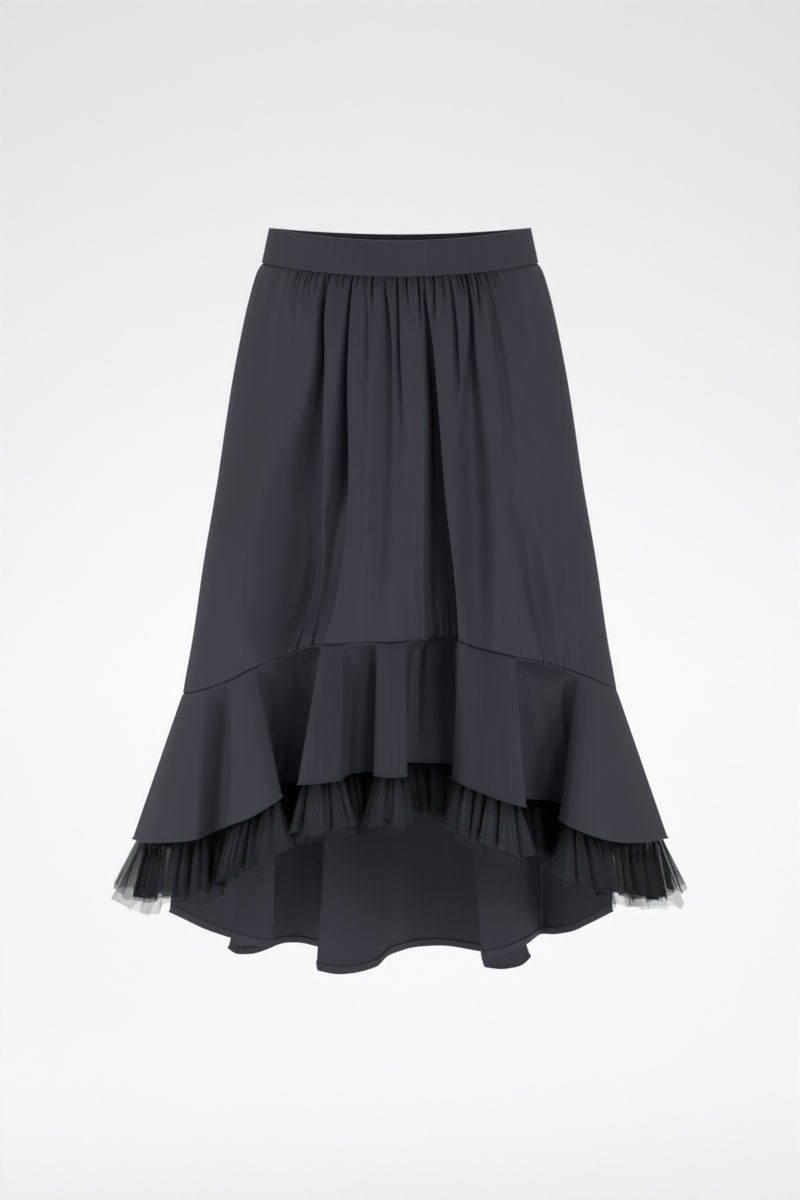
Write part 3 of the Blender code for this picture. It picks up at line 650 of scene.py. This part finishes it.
def sheetObject(name, grid, **maps):
    # a sheet through a grid of points in mm; rows run down, columns towards a higher turn
    rows, columns = grid.shape[:2]
    index = np.arange(rows * columns).reshape(rows, columns)
    faces = np.stack([index[:-1, :-1], index[1:, :-1], index[1:, 1:], index[:-1, 1:]], axis=-1)
    faces = faces.reshape(-1, 4)
    mesh = bpy.data.meshes.new(name)
    mesh.from_pydata((grid.reshape(-1, 3) * mm).tolist(), [], faces.tolist())
    across = np.broadcast_to(lengthsAlong(grid[rows // 2]), (rows, columns))
    maps["cut"] = np.stack([across, -lengthsAlong(grid)], axis=-1) * mm
    for title, places in sorted(maps.items()):
        layer = mesh.uv_layers.new(name=title)
        layer.data.foreach_set("uv", places.reshape(-1, 2)[faces.ravel()].ravel())
    mesh.update()
    return placed(name, mesh)


def selectOnly(pieces):
    bpy.ops.object.select_all(action="DESELECT")
    for piece in pieces:
        piece.select_set(True)
    bpy.context.view_layer.objects.active = pieces[0]


def thicken(piece, wall):
    modifier = piece.modifiers.new("Wall", "SOLIDIFY")
    modifier.thickness = wall * mm
    modifier.offset = 0.0
    modifier.use_even_offset = False
    selectOnly([piece])
    bpy.ops.object.modifier_apply(modifier=modifier.name)


def dress(piece, material, slot, *nodes):
    piece.data.materials.clear()
    piece.data.materials.append(material)
    piece.data.shade_smooth()
    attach(piece, "root")
    if nodes:
        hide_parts(*nodes)


def rowSteps(length, first, most, growth, ending):
    # distances down a piece: fine at first, growing up to the most, then rows close to the end
    steps = [0.0]
    size = first
    while steps[-1] + size < length - ending[0]:
        steps.append(steps[-1] + size)
        size = min(size * growth, most)
    return steps + [length - above for above in ending]


band = {
    "wall": 2.0,
    "sideGap": 0.06,  # degrees of turn left open at a side seam, and at the back
    "backGap": 0.015,
    "foot": 0.6,  # how much of its wall is left at the lower edge
    "footStart": 0.975,  # part of the way down where the wall starts to narrow
    "rows": (0.06, 0.94, 14),  # parts of the way down of the first and last row, and how many
    "overRows": 7,  # rows round its top edge
    "mapRow": 5,  # the row whose length the cloth's map takes
    "sharp": 60,  # degrees, from which an edge stays sharp
}


def bandSection():
    # the section from its lower edge up outside, over the top and down inside: each point's
    # part of the way down and its distance out from the middle
    half = band["wall"] / 2
    outside = [(1.0, half * band["foot"]), (band["footStart"], half)]
    outside += [(part, half) for part in np.linspace(*band["rows"])[::-1]]
    over = [(half * (1 - math.sin(angle)) / rings["bandHeight"], half * math.cos(angle))
            for angle in np.linspace(0, math.pi, band["overRows"])]
    return outside + over + [(part, -out) for part, out in reversed(outside)]


def makeBand(name, node, span, count):
    turns = np.linspace(*span, count)
    grid = []
    for part, out in bandSection():
        drop = rings["bandHeight"] * part
        grid.append(onRing(rings["band"], turns, rings["bandTop"] - drop, bandTop(turns) - drop, -out))
    grid = np.array(grid)
    rows, columns = grid.shape[:2]
    index = np.arange(rows * columns).reshape(rows, columns)
    following = np.roll(index, -1, axis=0)
    faces = np.stack([index[:, :-1], index[:, 1:], following[:, 1:], following[:, :-1]], axis=-1)
    ends = [index[:, 0].tolist(), index[::-1, -1].tolist()]
    mesh = bpy.data.meshes.new(name)
    mesh.from_pydata((grid.reshape(-1, 3) * mm).tolist(), [], faces.reshape(-1, 4).tolist() + ends)
    mesh.update()
    across = lengthsAlong(grid[band["mapRow"]])
    around = lengthsAlong(grid[:, 0])
    cutMap = np.stack(np.broadcast_arrays(across, around[:, None]), axis=-1).reshape(-1, 2) * mm
    corners = np.empty(len(mesh.loops), dtype=np.int32)
    mesh.loops.foreach_get("vertex_index", corners)
    mesh.uv_layers.new(name="cut").data.foreach_set("uv", cutMap[corners].ravel())
    piece = placed(name, mesh)
    bm = bmesh.new()
    bm.from_mesh(mesh)
    bmesh.ops.recalc_face_normals(bm, faces=bm.faces[:])
    bm.to_mesh(mesh)
    bm.free()
    dress(piece, slateCloth, "cloth", node)
    mesh.set_sharp_from_angle(angle=math.radians(band["sharp"]))


panel = {
    "wall": 0.7,
    "sideGap": 0.1, "backGap": 0.03,  # degrees of turn left open at its seams
    "tucked": 3.0, "tuckStart": 0.8,  # rows above the band's foot, hidden behind the band
    "tuck": 2.8, "tuckEnd": 2.4,  # how far they lie in, and where that ends below
    "rows": (0.6, 9.0, 1.09),
    "lastRows": (7, 4, 2.4, 1.5, 0.8, 0.2),
}

# How close together a panel's columns are: everywhere, and more at each gather, fold and pucker
columnDensity = {
    "even": 0.35, "gather": 0.34, "gatherDepth": 4, "gatherWidth": 2.2, "fold": 0.06, "foldWidth": 0.4,
    "pucker": 0.5, "puckerWidth": 0.9, "samples": 4000,
}


def columnTurns(side, span, count):
    # turns at the flounce seam, closer together where the gathers are
    fine = np.linspace(*span, columnDensity["samples"])
    waist = waistTurn(side, fine)
    density = np.full_like(fine, columnDensity["even"])

    def crowd(distance, width, share):
        return share * np.exp(-(distance / width) ** 2)

    for at, _, _, _, depth in side["gathers"]:
        share = min(depth, columnDensity["gatherDepth"]) * columnDensity["gather"]
        density += crowd(waist - at, columnDensity["gatherWidth"], share)
    for _, _, stations in side["folds"]:
        seamTurn, half, depth = stations[-1][1:]
        density += crowd(fine - seamTurn, half * columnDensity["foldWidth"], depth * columnDensity["fold"])
    for at, _, _, _, depth in side["puckers"]:
        density += crowd(fine - at, columnDensity["puckerWidth"], depth * columnDensity["pucker"])
    total = np.concatenate([[0], np.cumsum((density[1:] + density[:-1]) / 2)])
    return np.interp(np.linspace(0, total[-1], count), total, fine)


def makePanel(name, node, side, span, count):
    turns = columnTurns(side, span, count)
    length = np.mean(bandTop(turns) - rings["bandHeight"] - seamLevel(turns))
    falls = rowSteps(length, *panel["rows"], panel["lastRows"])
    down = np.array([-panel["tucked"], -panel["tuckStart"]] + falls) / length
    turn, part = np.meshgrid(turns, down)
    tuck = panel["tuck"] * (1 - step(-panel["tuckStart"], panel["tuckEnd"], part * length))
    piece = sheetObject(name, panelPoints(side, turn, part, tuck))
    thicken(piece, panel["wall"])
    dress(piece, slateCloth, "cloth", node)


flounce = {
    "wall": 0.8,
    "depth": 130.0,  # nominal, for the spacing of its rows
    "rows": (0.7, 4.2, 1.12),
    "lastRows": (3.0, 1.4, 0.7, 0.0),
    "lips": (0.1, 1.0, 1.1),  # how far its last rows stand out, down to the hem
    "hemWall": 0.2,
    # the hem's turned edge, inside: height above the hem and distance in
    "hemTurn": ((0.0, 0.2), (1.5, 0.52), (8.0, 0.52), (9.0, 0.36)),
}


def makeFlounce(name, node, side, count):
    falls = rowSteps(flounce["depth"], *flounce["rows"], flounce["lastRows"])
    grid = flouncePoints(side, hemLines(side, count), np.array(falls) / flounce["depth"])
    out = outwardOf(grid[-1])
    for row, lip in zip((-3, -2, -1), flounce["lips"]):
        grid[row] += out * lip
    piece = sheetObject(name, grid)
    thicken(piece, flounce["wall"])
    up = unit(grid[-4] - grid[-1])
    turned = sheetObject(name + "Hem", np.array([grid[-1] + up * height - out * away
                                                 for height, away in flounce["hemTurn"]]))
    thicken(turned, flounce["hemWall"])
    selectOnly([piece, turned])
    bpy.ops.object.join()
    dress(piece, slateCloth, "cloth", node)


frill = {
    "wall": 0.12,
    "sewnAbove": 0.08,  # part of the flounce's depth between the sewing and the hem
    "centre": 46.0,  # how far the net hangs below the hem, in the middle and at the sides
    "side": 58.0,
    "longest": 16,  # what the longest pleats hang below that at the sides
    "sewnSize": 0.7,  # depth of the gathers where it is sewn, and at the hem
    "hemSize": 1.2,
    "flare": 0.17, "flareWidth": 7,
    "recessWidth": 45,  # the stretch of hem that a recess is measured against
    "recess": (-5, 23),  # how far behind it a recess starts and is full
    "recessLength": 5,  # how much longer the net hangs there, and how much painted shade it gets
    "paintedRecessShade": 0.6,
    "broadFrom": (0.85, 0.95),  # from here to the ends the pleats are broad,
    "openFrom": (0.83, 0.92),  # no longer lie over each other
    "hangFrom": (0.84, 0.96),  # and hang straight down
    "hang": 0.92,
    # parts of the way up to the sewing, below 0, and down the net
    "rows": (-1.0, -0.5, 0.0, 0.05, 0.12, 0.2, 0.3, 0.42, 0.54, 0.67, 0.8, 0.92, 1.0),
}

# The least and the most of what changes from pleat to pleat
pleating = {
    "width": (0.5, 1.6), "tall": (0.5, 1.35), "twist": (-5, 5), "longer": (-3.2, 3.2), "tip": (0, 1),
    "narrow": (1.2, 4.0), "fine": (0.1, 0.6), "lap": (-0.3, 0.75), "drift": (-1.5, 1.5),
    # the last two set the breadth and strength of the painted shade in the pleats' valleys
    "valley": (0.3, 0.8), "shade": (0.6, 1.2),
}


def pleatEdges(random, along, whole, strip):
    # where each pleat starts along the hem, from the strip's first end to past its last
    edges = [along[0]]
    while edges[-1] < along[-1]:
        broad = strip["broad"] * step(*frill["broadFrom"], abs(2 * edges[-1] / whole - 1))
        edges.append(edges[-1] + strip["pleat"] * random.uniform(*pleating["width"]) * (1 + broad))
    return edges


def makeFrill(name, material, strip, cut, area, *replaced):
    # a gathered strip of net: fine gathers where it is sewn, uneven S-shaped pleats at its edge
    random = np.random.RandomState(strip["seed"])
    lines = hemLines(front, strip["columns"], *strip["ends"])
    along = lines[3]
    spacing = along[1] - along[0]
    whole = hemLines(front, 2)[3][-1]
    edges = pleatEdges(random, along, whole, strip)
    which = np.interp(along, edges, np.arange(len(edges)))

    def uneven(title, often=1):
        # a value that changes from pleat to pleat
        values = random.uniform(*pleating[title], often * (len(edges) + 1))
        return np.interp(which * often, np.arange(len(values)), values)

    side = np.abs(np.linspace(*strip["ends"], strip["columns"]) * 2 - 1)
    tall = uneven("tall")
    twist = uneven("twist")
    longer = uneven("longer", 2) * (1 + 2.0 * side ** 4)
    longer = longer + frill["longest"] * side ** 4 * uneven("tip", 2) ** 5
    narrow = uneven("narrow")
    fine = uneven("fine", 3)
    lap = uneven("lap")
    phase = which * 2 * math.pi
    finePhase = phase * 3 + uneven("drift", 2)
    # breadth and strength of the painted shade in each pleat's valley
    breadth = uneven("valley", 2)
    depth = uneven("shade")
    opened = step(*frill["openFrom"], side)
    lap = lap * (1 - opened)
    tall = tall * (1 - 0.7 * opened)

    rounding = 5 + strip["inset"] / 2
    hem = evened(lines[1], rounding, spacing)
    sewn = evened(flouncePoints(front, lines, [1 - frill["sewnAbove"]])[0], rounding, spacing)
    outHem = outwardOf(hem)
    outSewn = outwardOf(sewn)
    # how far the hem lies behind its neighbours: the net hangs longer there and gets painted shade
    behind = hem[:, 1] - evened(hem, frill["recessWidth"], spacing)[:, 1]
    shallow, full = frill["recess"]
    recess = np.clip((behind - shallow) / (full - shallow), 0, 1)
    length = mix(frill["centre"], frill["side"], side ** 2) + frill["recessLength"] * recess
    length = length + strip["longer"] + longer
    # the flare follows the flutes of the hem, evened out over a few fingers' breadth
    flare = evened(outHem, frill["flareWidth"], spacing) * (frill["flare"] * (1 - 0.25 * side ** 3))[:, None]
    hang = (frill["hang"] * (1 - step(*frill["hangFrom"], side)))[:, None]
    spread = unit(unit(mix(unit(hem - sewn), np.array([0, 0, -1.0]), hang)) + flare)
    tangent = unit(np.gradient(hem, axis=0))
    middle = np.abs(np.mod(which, 1) - 0.5) * 2
    rows, pleatShadeMap = [], []
    for part in frill["rows"]:
        past = max(part, 0)
        if part <= 0:
            base = mix(sewn, hem, 1 + part) - mix(outSewn, outHem, 1 + part) * strip["inset"]
            size = mix(frill["sewnSize"], frill["hemSize"], 1 + part)
        else:
            base = hem - outHem * strip["inset"] + spread * length[:, None] * part
            size = mix(frill["hemSize"], strip["height"], part ** 0.55)
        wave = 1 - 2 * (0.5 - 0.5 * np.cos(phase)) ** narrow
        ripple = np.sin(finePhase) * fine * (1.2 * (1 - past) + 0.8) * (part > 0)
        slide = np.sin(phase) * size * lap + twist * past ** 1.4
        rows.append(base + outHem * (wave * tall * size + ripple)[:, None] + tangent * slide[:, None])
        # painted shade: darker in each pleat's valley and in the hem's recesses, carried to the net's colour
        # by the pleat map
        valley = np.clip(1 - middle / (breadth * (1.35 - 0.8 * past)), 0, 1) * depth * (1 - 0.4 * past)
        paintedShadeAmount = np.clip(valley + frill["paintedRecessShade"] * recess, 0, 1)
        pleatShadeMap.append(np.stack([paintedShadeAmount, np.full_like(paintedShadeAmount, past)], axis=-1))
    piece = sheetObject(name, np.array(rows), pleat=np.array(pleatShadeMap))
    thicken(piece, frill["wall"])
    dress(piece, material, "net", *replaced)


# Places and sizes in metres, angles in degrees
studio = {
    "distance": 3.4,  # camera in front of the skirt's axis, level with the waist
    "pitch": 84.07,  # camera's tilt up from straight down
    "lens": 102.5,
    "floor": -1.06, "nearEdge": -5.0,
    "wall": 2.6, "top": 4.0,  # backdrop behind the axis
    "cove": 1.3, "coveSteps": 12,  # the sweep's radius between floor and backdrop
    "halfWidth": 2.0,
    # the paper is pale low down; painted shade makes it darker high up
    "paperLow": (0.95, 0.95, 0.95), "paperPaintedDark": (0.62, 0.635, 0.63),
    "paperPaintedShadeHeights": (-0.7, 1.1),  # heights between which painted shade darkens the paper towards its top
    "air": (0.93, 0.96, 1.0), "airStrength": 0.12,
    # each lamp's name, place, aim, width and watts
    "lamps": [("keyRight", (2.5, -2.4, -0.25), (0, 0, -0.45), 1.1, 20.5),
              ("keyNear", (1.3, -3.1, 0.3), (0, 0, -0.45), 1.0, 18),
              ("softLeft", (-1.7, -3.0, -0.1), (0, 0, -0.45), 1.8, 8),
              ("farLeft", (-2.6, -0.9, -0.2), (0, 0, -0.45), 1.2, 19),
              ("wallLeft", (-1.9, 0.9, 1.0), (-0.2, 2.6, -0.9), 1.6, 12.3),
              ("wallRight", (1.9, 0.9, 1.0), (0.2, 2.6, -0.9), 1.6, 12.3),
              ("floorWash", (0, 1.0, 1.7), (0, 0.6, -1.06), 1.2, 36.5)],
}


def palePaper():
    material, tree, shader = newMaterial("palePaper", Roughness=0.9)
    height = addNode(tree, "ShaderNodeSeparateXYZ", Vector=placeOf(tree)).outputs["Z"]
    # painted shade: the backdrop's colour darkens towards its top
    rise = rangeNode(tree, height, *studio["paperPaintedShadeHeights"], 0, 1)
    paperPaintedShade = mixNode(tree, rise, shaded(studio["paperLow"]), shaded(studio["paperPaintedDark"]))
    feed(tree, shader.inputs["Base Color"], paperPaintedShade)
    return material


def makeSweep():
    # the floor and the backdrop in one sheet of paper
    floor, wall, cove = studio["floor"], studio["wall"], studio["cove"]
    profile = [(studio["nearEdge"], floor), (wall - cove, floor)]
    for n in range(1, studio["coveSteps"] + 1):
        angle = math.pi / 2 * n / studio["coveSteps"]
        profile.append((wall - cove + cove * math.sin(angle), floor + cove * (1 - math.cos(angle))))
    profile.append((wall, studio["top"]))
    half = studio["halfWidth"]
    vertices = [(x, y, z) for y, z in profile for x in (-half, half)]
    faces = [(2 * n, 2 * n + 1, 2 * n + 3, 2 * n + 2) for n in range(len(profile) - 1)]
    mesh = bpy.data.meshes.new("paperSweep")
    mesh.from_pydata(vertices, [], faces)
    mesh.shade_smooth()
    mesh.materials.append(palePaper())
    placed("paperSweep", mesh)


def makeStudio():
    scene = bpy.context.scene
    camera = bpy.data.cameras.new("camera")
    camera.lens = studio["lens"]
    camera.sensor_width = 36
    scene.camera = placed("camera", camera)
    scene.camera.location = (0, -studio["distance"], 0)
    scene.camera.rotation_euler = (math.radians(studio["pitch"]), 0, 0)
    makeSweep()
    scene.world = bpy.data.worlds.new("studioAir")
    scene.world.use_nodes = True
    air = scene.world.node_tree.nodes["Background"].inputs
    air["Color"].default_value = shaded(studio["air"])
    air["Strength"].default_value = studio["airStrength"]
    for name, place, aim, width, watts in studio["lamps"]:
        light = bpy.data.lights.new(name, "AREA")
        light.shape = "DISK"
        light.size = width
        light.energy = watts
        lamp = placed(name, light)
        lamp.location = place
        lamp.rotation_euler = (Vector(aim) - Vector(place)).to_track_quat("-Z", "Y").to_euler()
    scene.view_settings.view_transform = "Standard"


def seamTurns(piece):
    # the turns at which the front, back right and back left pieces start and end
    edge, middle = rings["sideSeam"], rings["backSeam"]
    side, centre = piece["sideGap"], piece["backGap"]
    return ((-edge + side, edge - side), (edge + side, middle - centre),
            (middle + centre, 360 - edge - side))


print("studio")
makeStudio()

print("cloth, net and metal")
fineWeave = weaveGroup()
slateCloth = wovenCloth("slateCloth", fineWeave, slateLook)
tapeCloth = wovenCloth("tapeCloth", fineWeave, tapeLook)
diamondNet = netGroup()
netDark = netCloth("netDark", diamondNet, darkLook)
netPale = netCloth("netPale", diamondNet, paleLook)
pullMetal = zipMetal()

print("band")
frontSpan, rightSpan, leftSpan = seamTurns(band)
makeBand("waistbandFront", "waistband_front", frontSpan, 200)
makeBand("waistbandBackRight", "waistband_back_right", rightSpan, 90)
makeBand("waistbandBackLeft", "waistband_back_left", leftSpan, 90)

print("panels")
frontSpan, rightSpan, leftSpan = seamTurns(panel)
makePanel("frontPanel", "front_panel", front, frontSpan, 560)
makePanel("backPanelRight", "back_panel_right", back, rightSpan, 280)
makePanel("backPanelLeft", "back_panel_left", back, leftSpan, 280)

print("flounces")
makeFlounce("frontFlounce", "front_flounce", front, 760)
makeFlounce("backFlounce", "back_flounce", back, 600)

# Each strip of net: the seed of its pleats, its columns, how much longer it hangs than the
# frill's own measure, its pleats' width and depth, how far inside the hem it is sewn, where it
# starts and ends along the hem, and how much broader its pleats get at the sides
outerStrip = {"seed": 11, "columns": 2440, "longer": 0.0, "pleat": 13.0, "height": 8.0, "inset": 4.0,
              "ends": (0.013, 0.987), "broad": 1.8}
underStrip = {"seed": 12, "columns": 1500, "longer": -4.0, "pleat": 16.0, "height": 6.0, "inset": 7.5,
              "ends": (0.16, 0.84), "broad": 1.0}
longStrip = {"seed": 13, "columns": 700, "longer": 11.0, "pleat": 34.0, "height": 3.5, "inset": 8.0,
             "ends": (0.002, 0.998), "broad": 1.0}

print("net")
makeFrill("netFrillOuter", netDark, outerStrip, (4.2, 0.075), 0.22, "net_frill")
makeFrill("netFrillUnder", netDark, underStrip, (2.0, 0.065), 0.09)
makeFrill("netFrillLong", netPale, longStrip, (2.0, 0.085), 0.12)

print("zip")
for node, finish in (("zip_tape", tapeCloth), ("zip_slider", pullMetal)):
    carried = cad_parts[node]
    carried.data.materials.clear()
    carried.data.materials.append(finish)
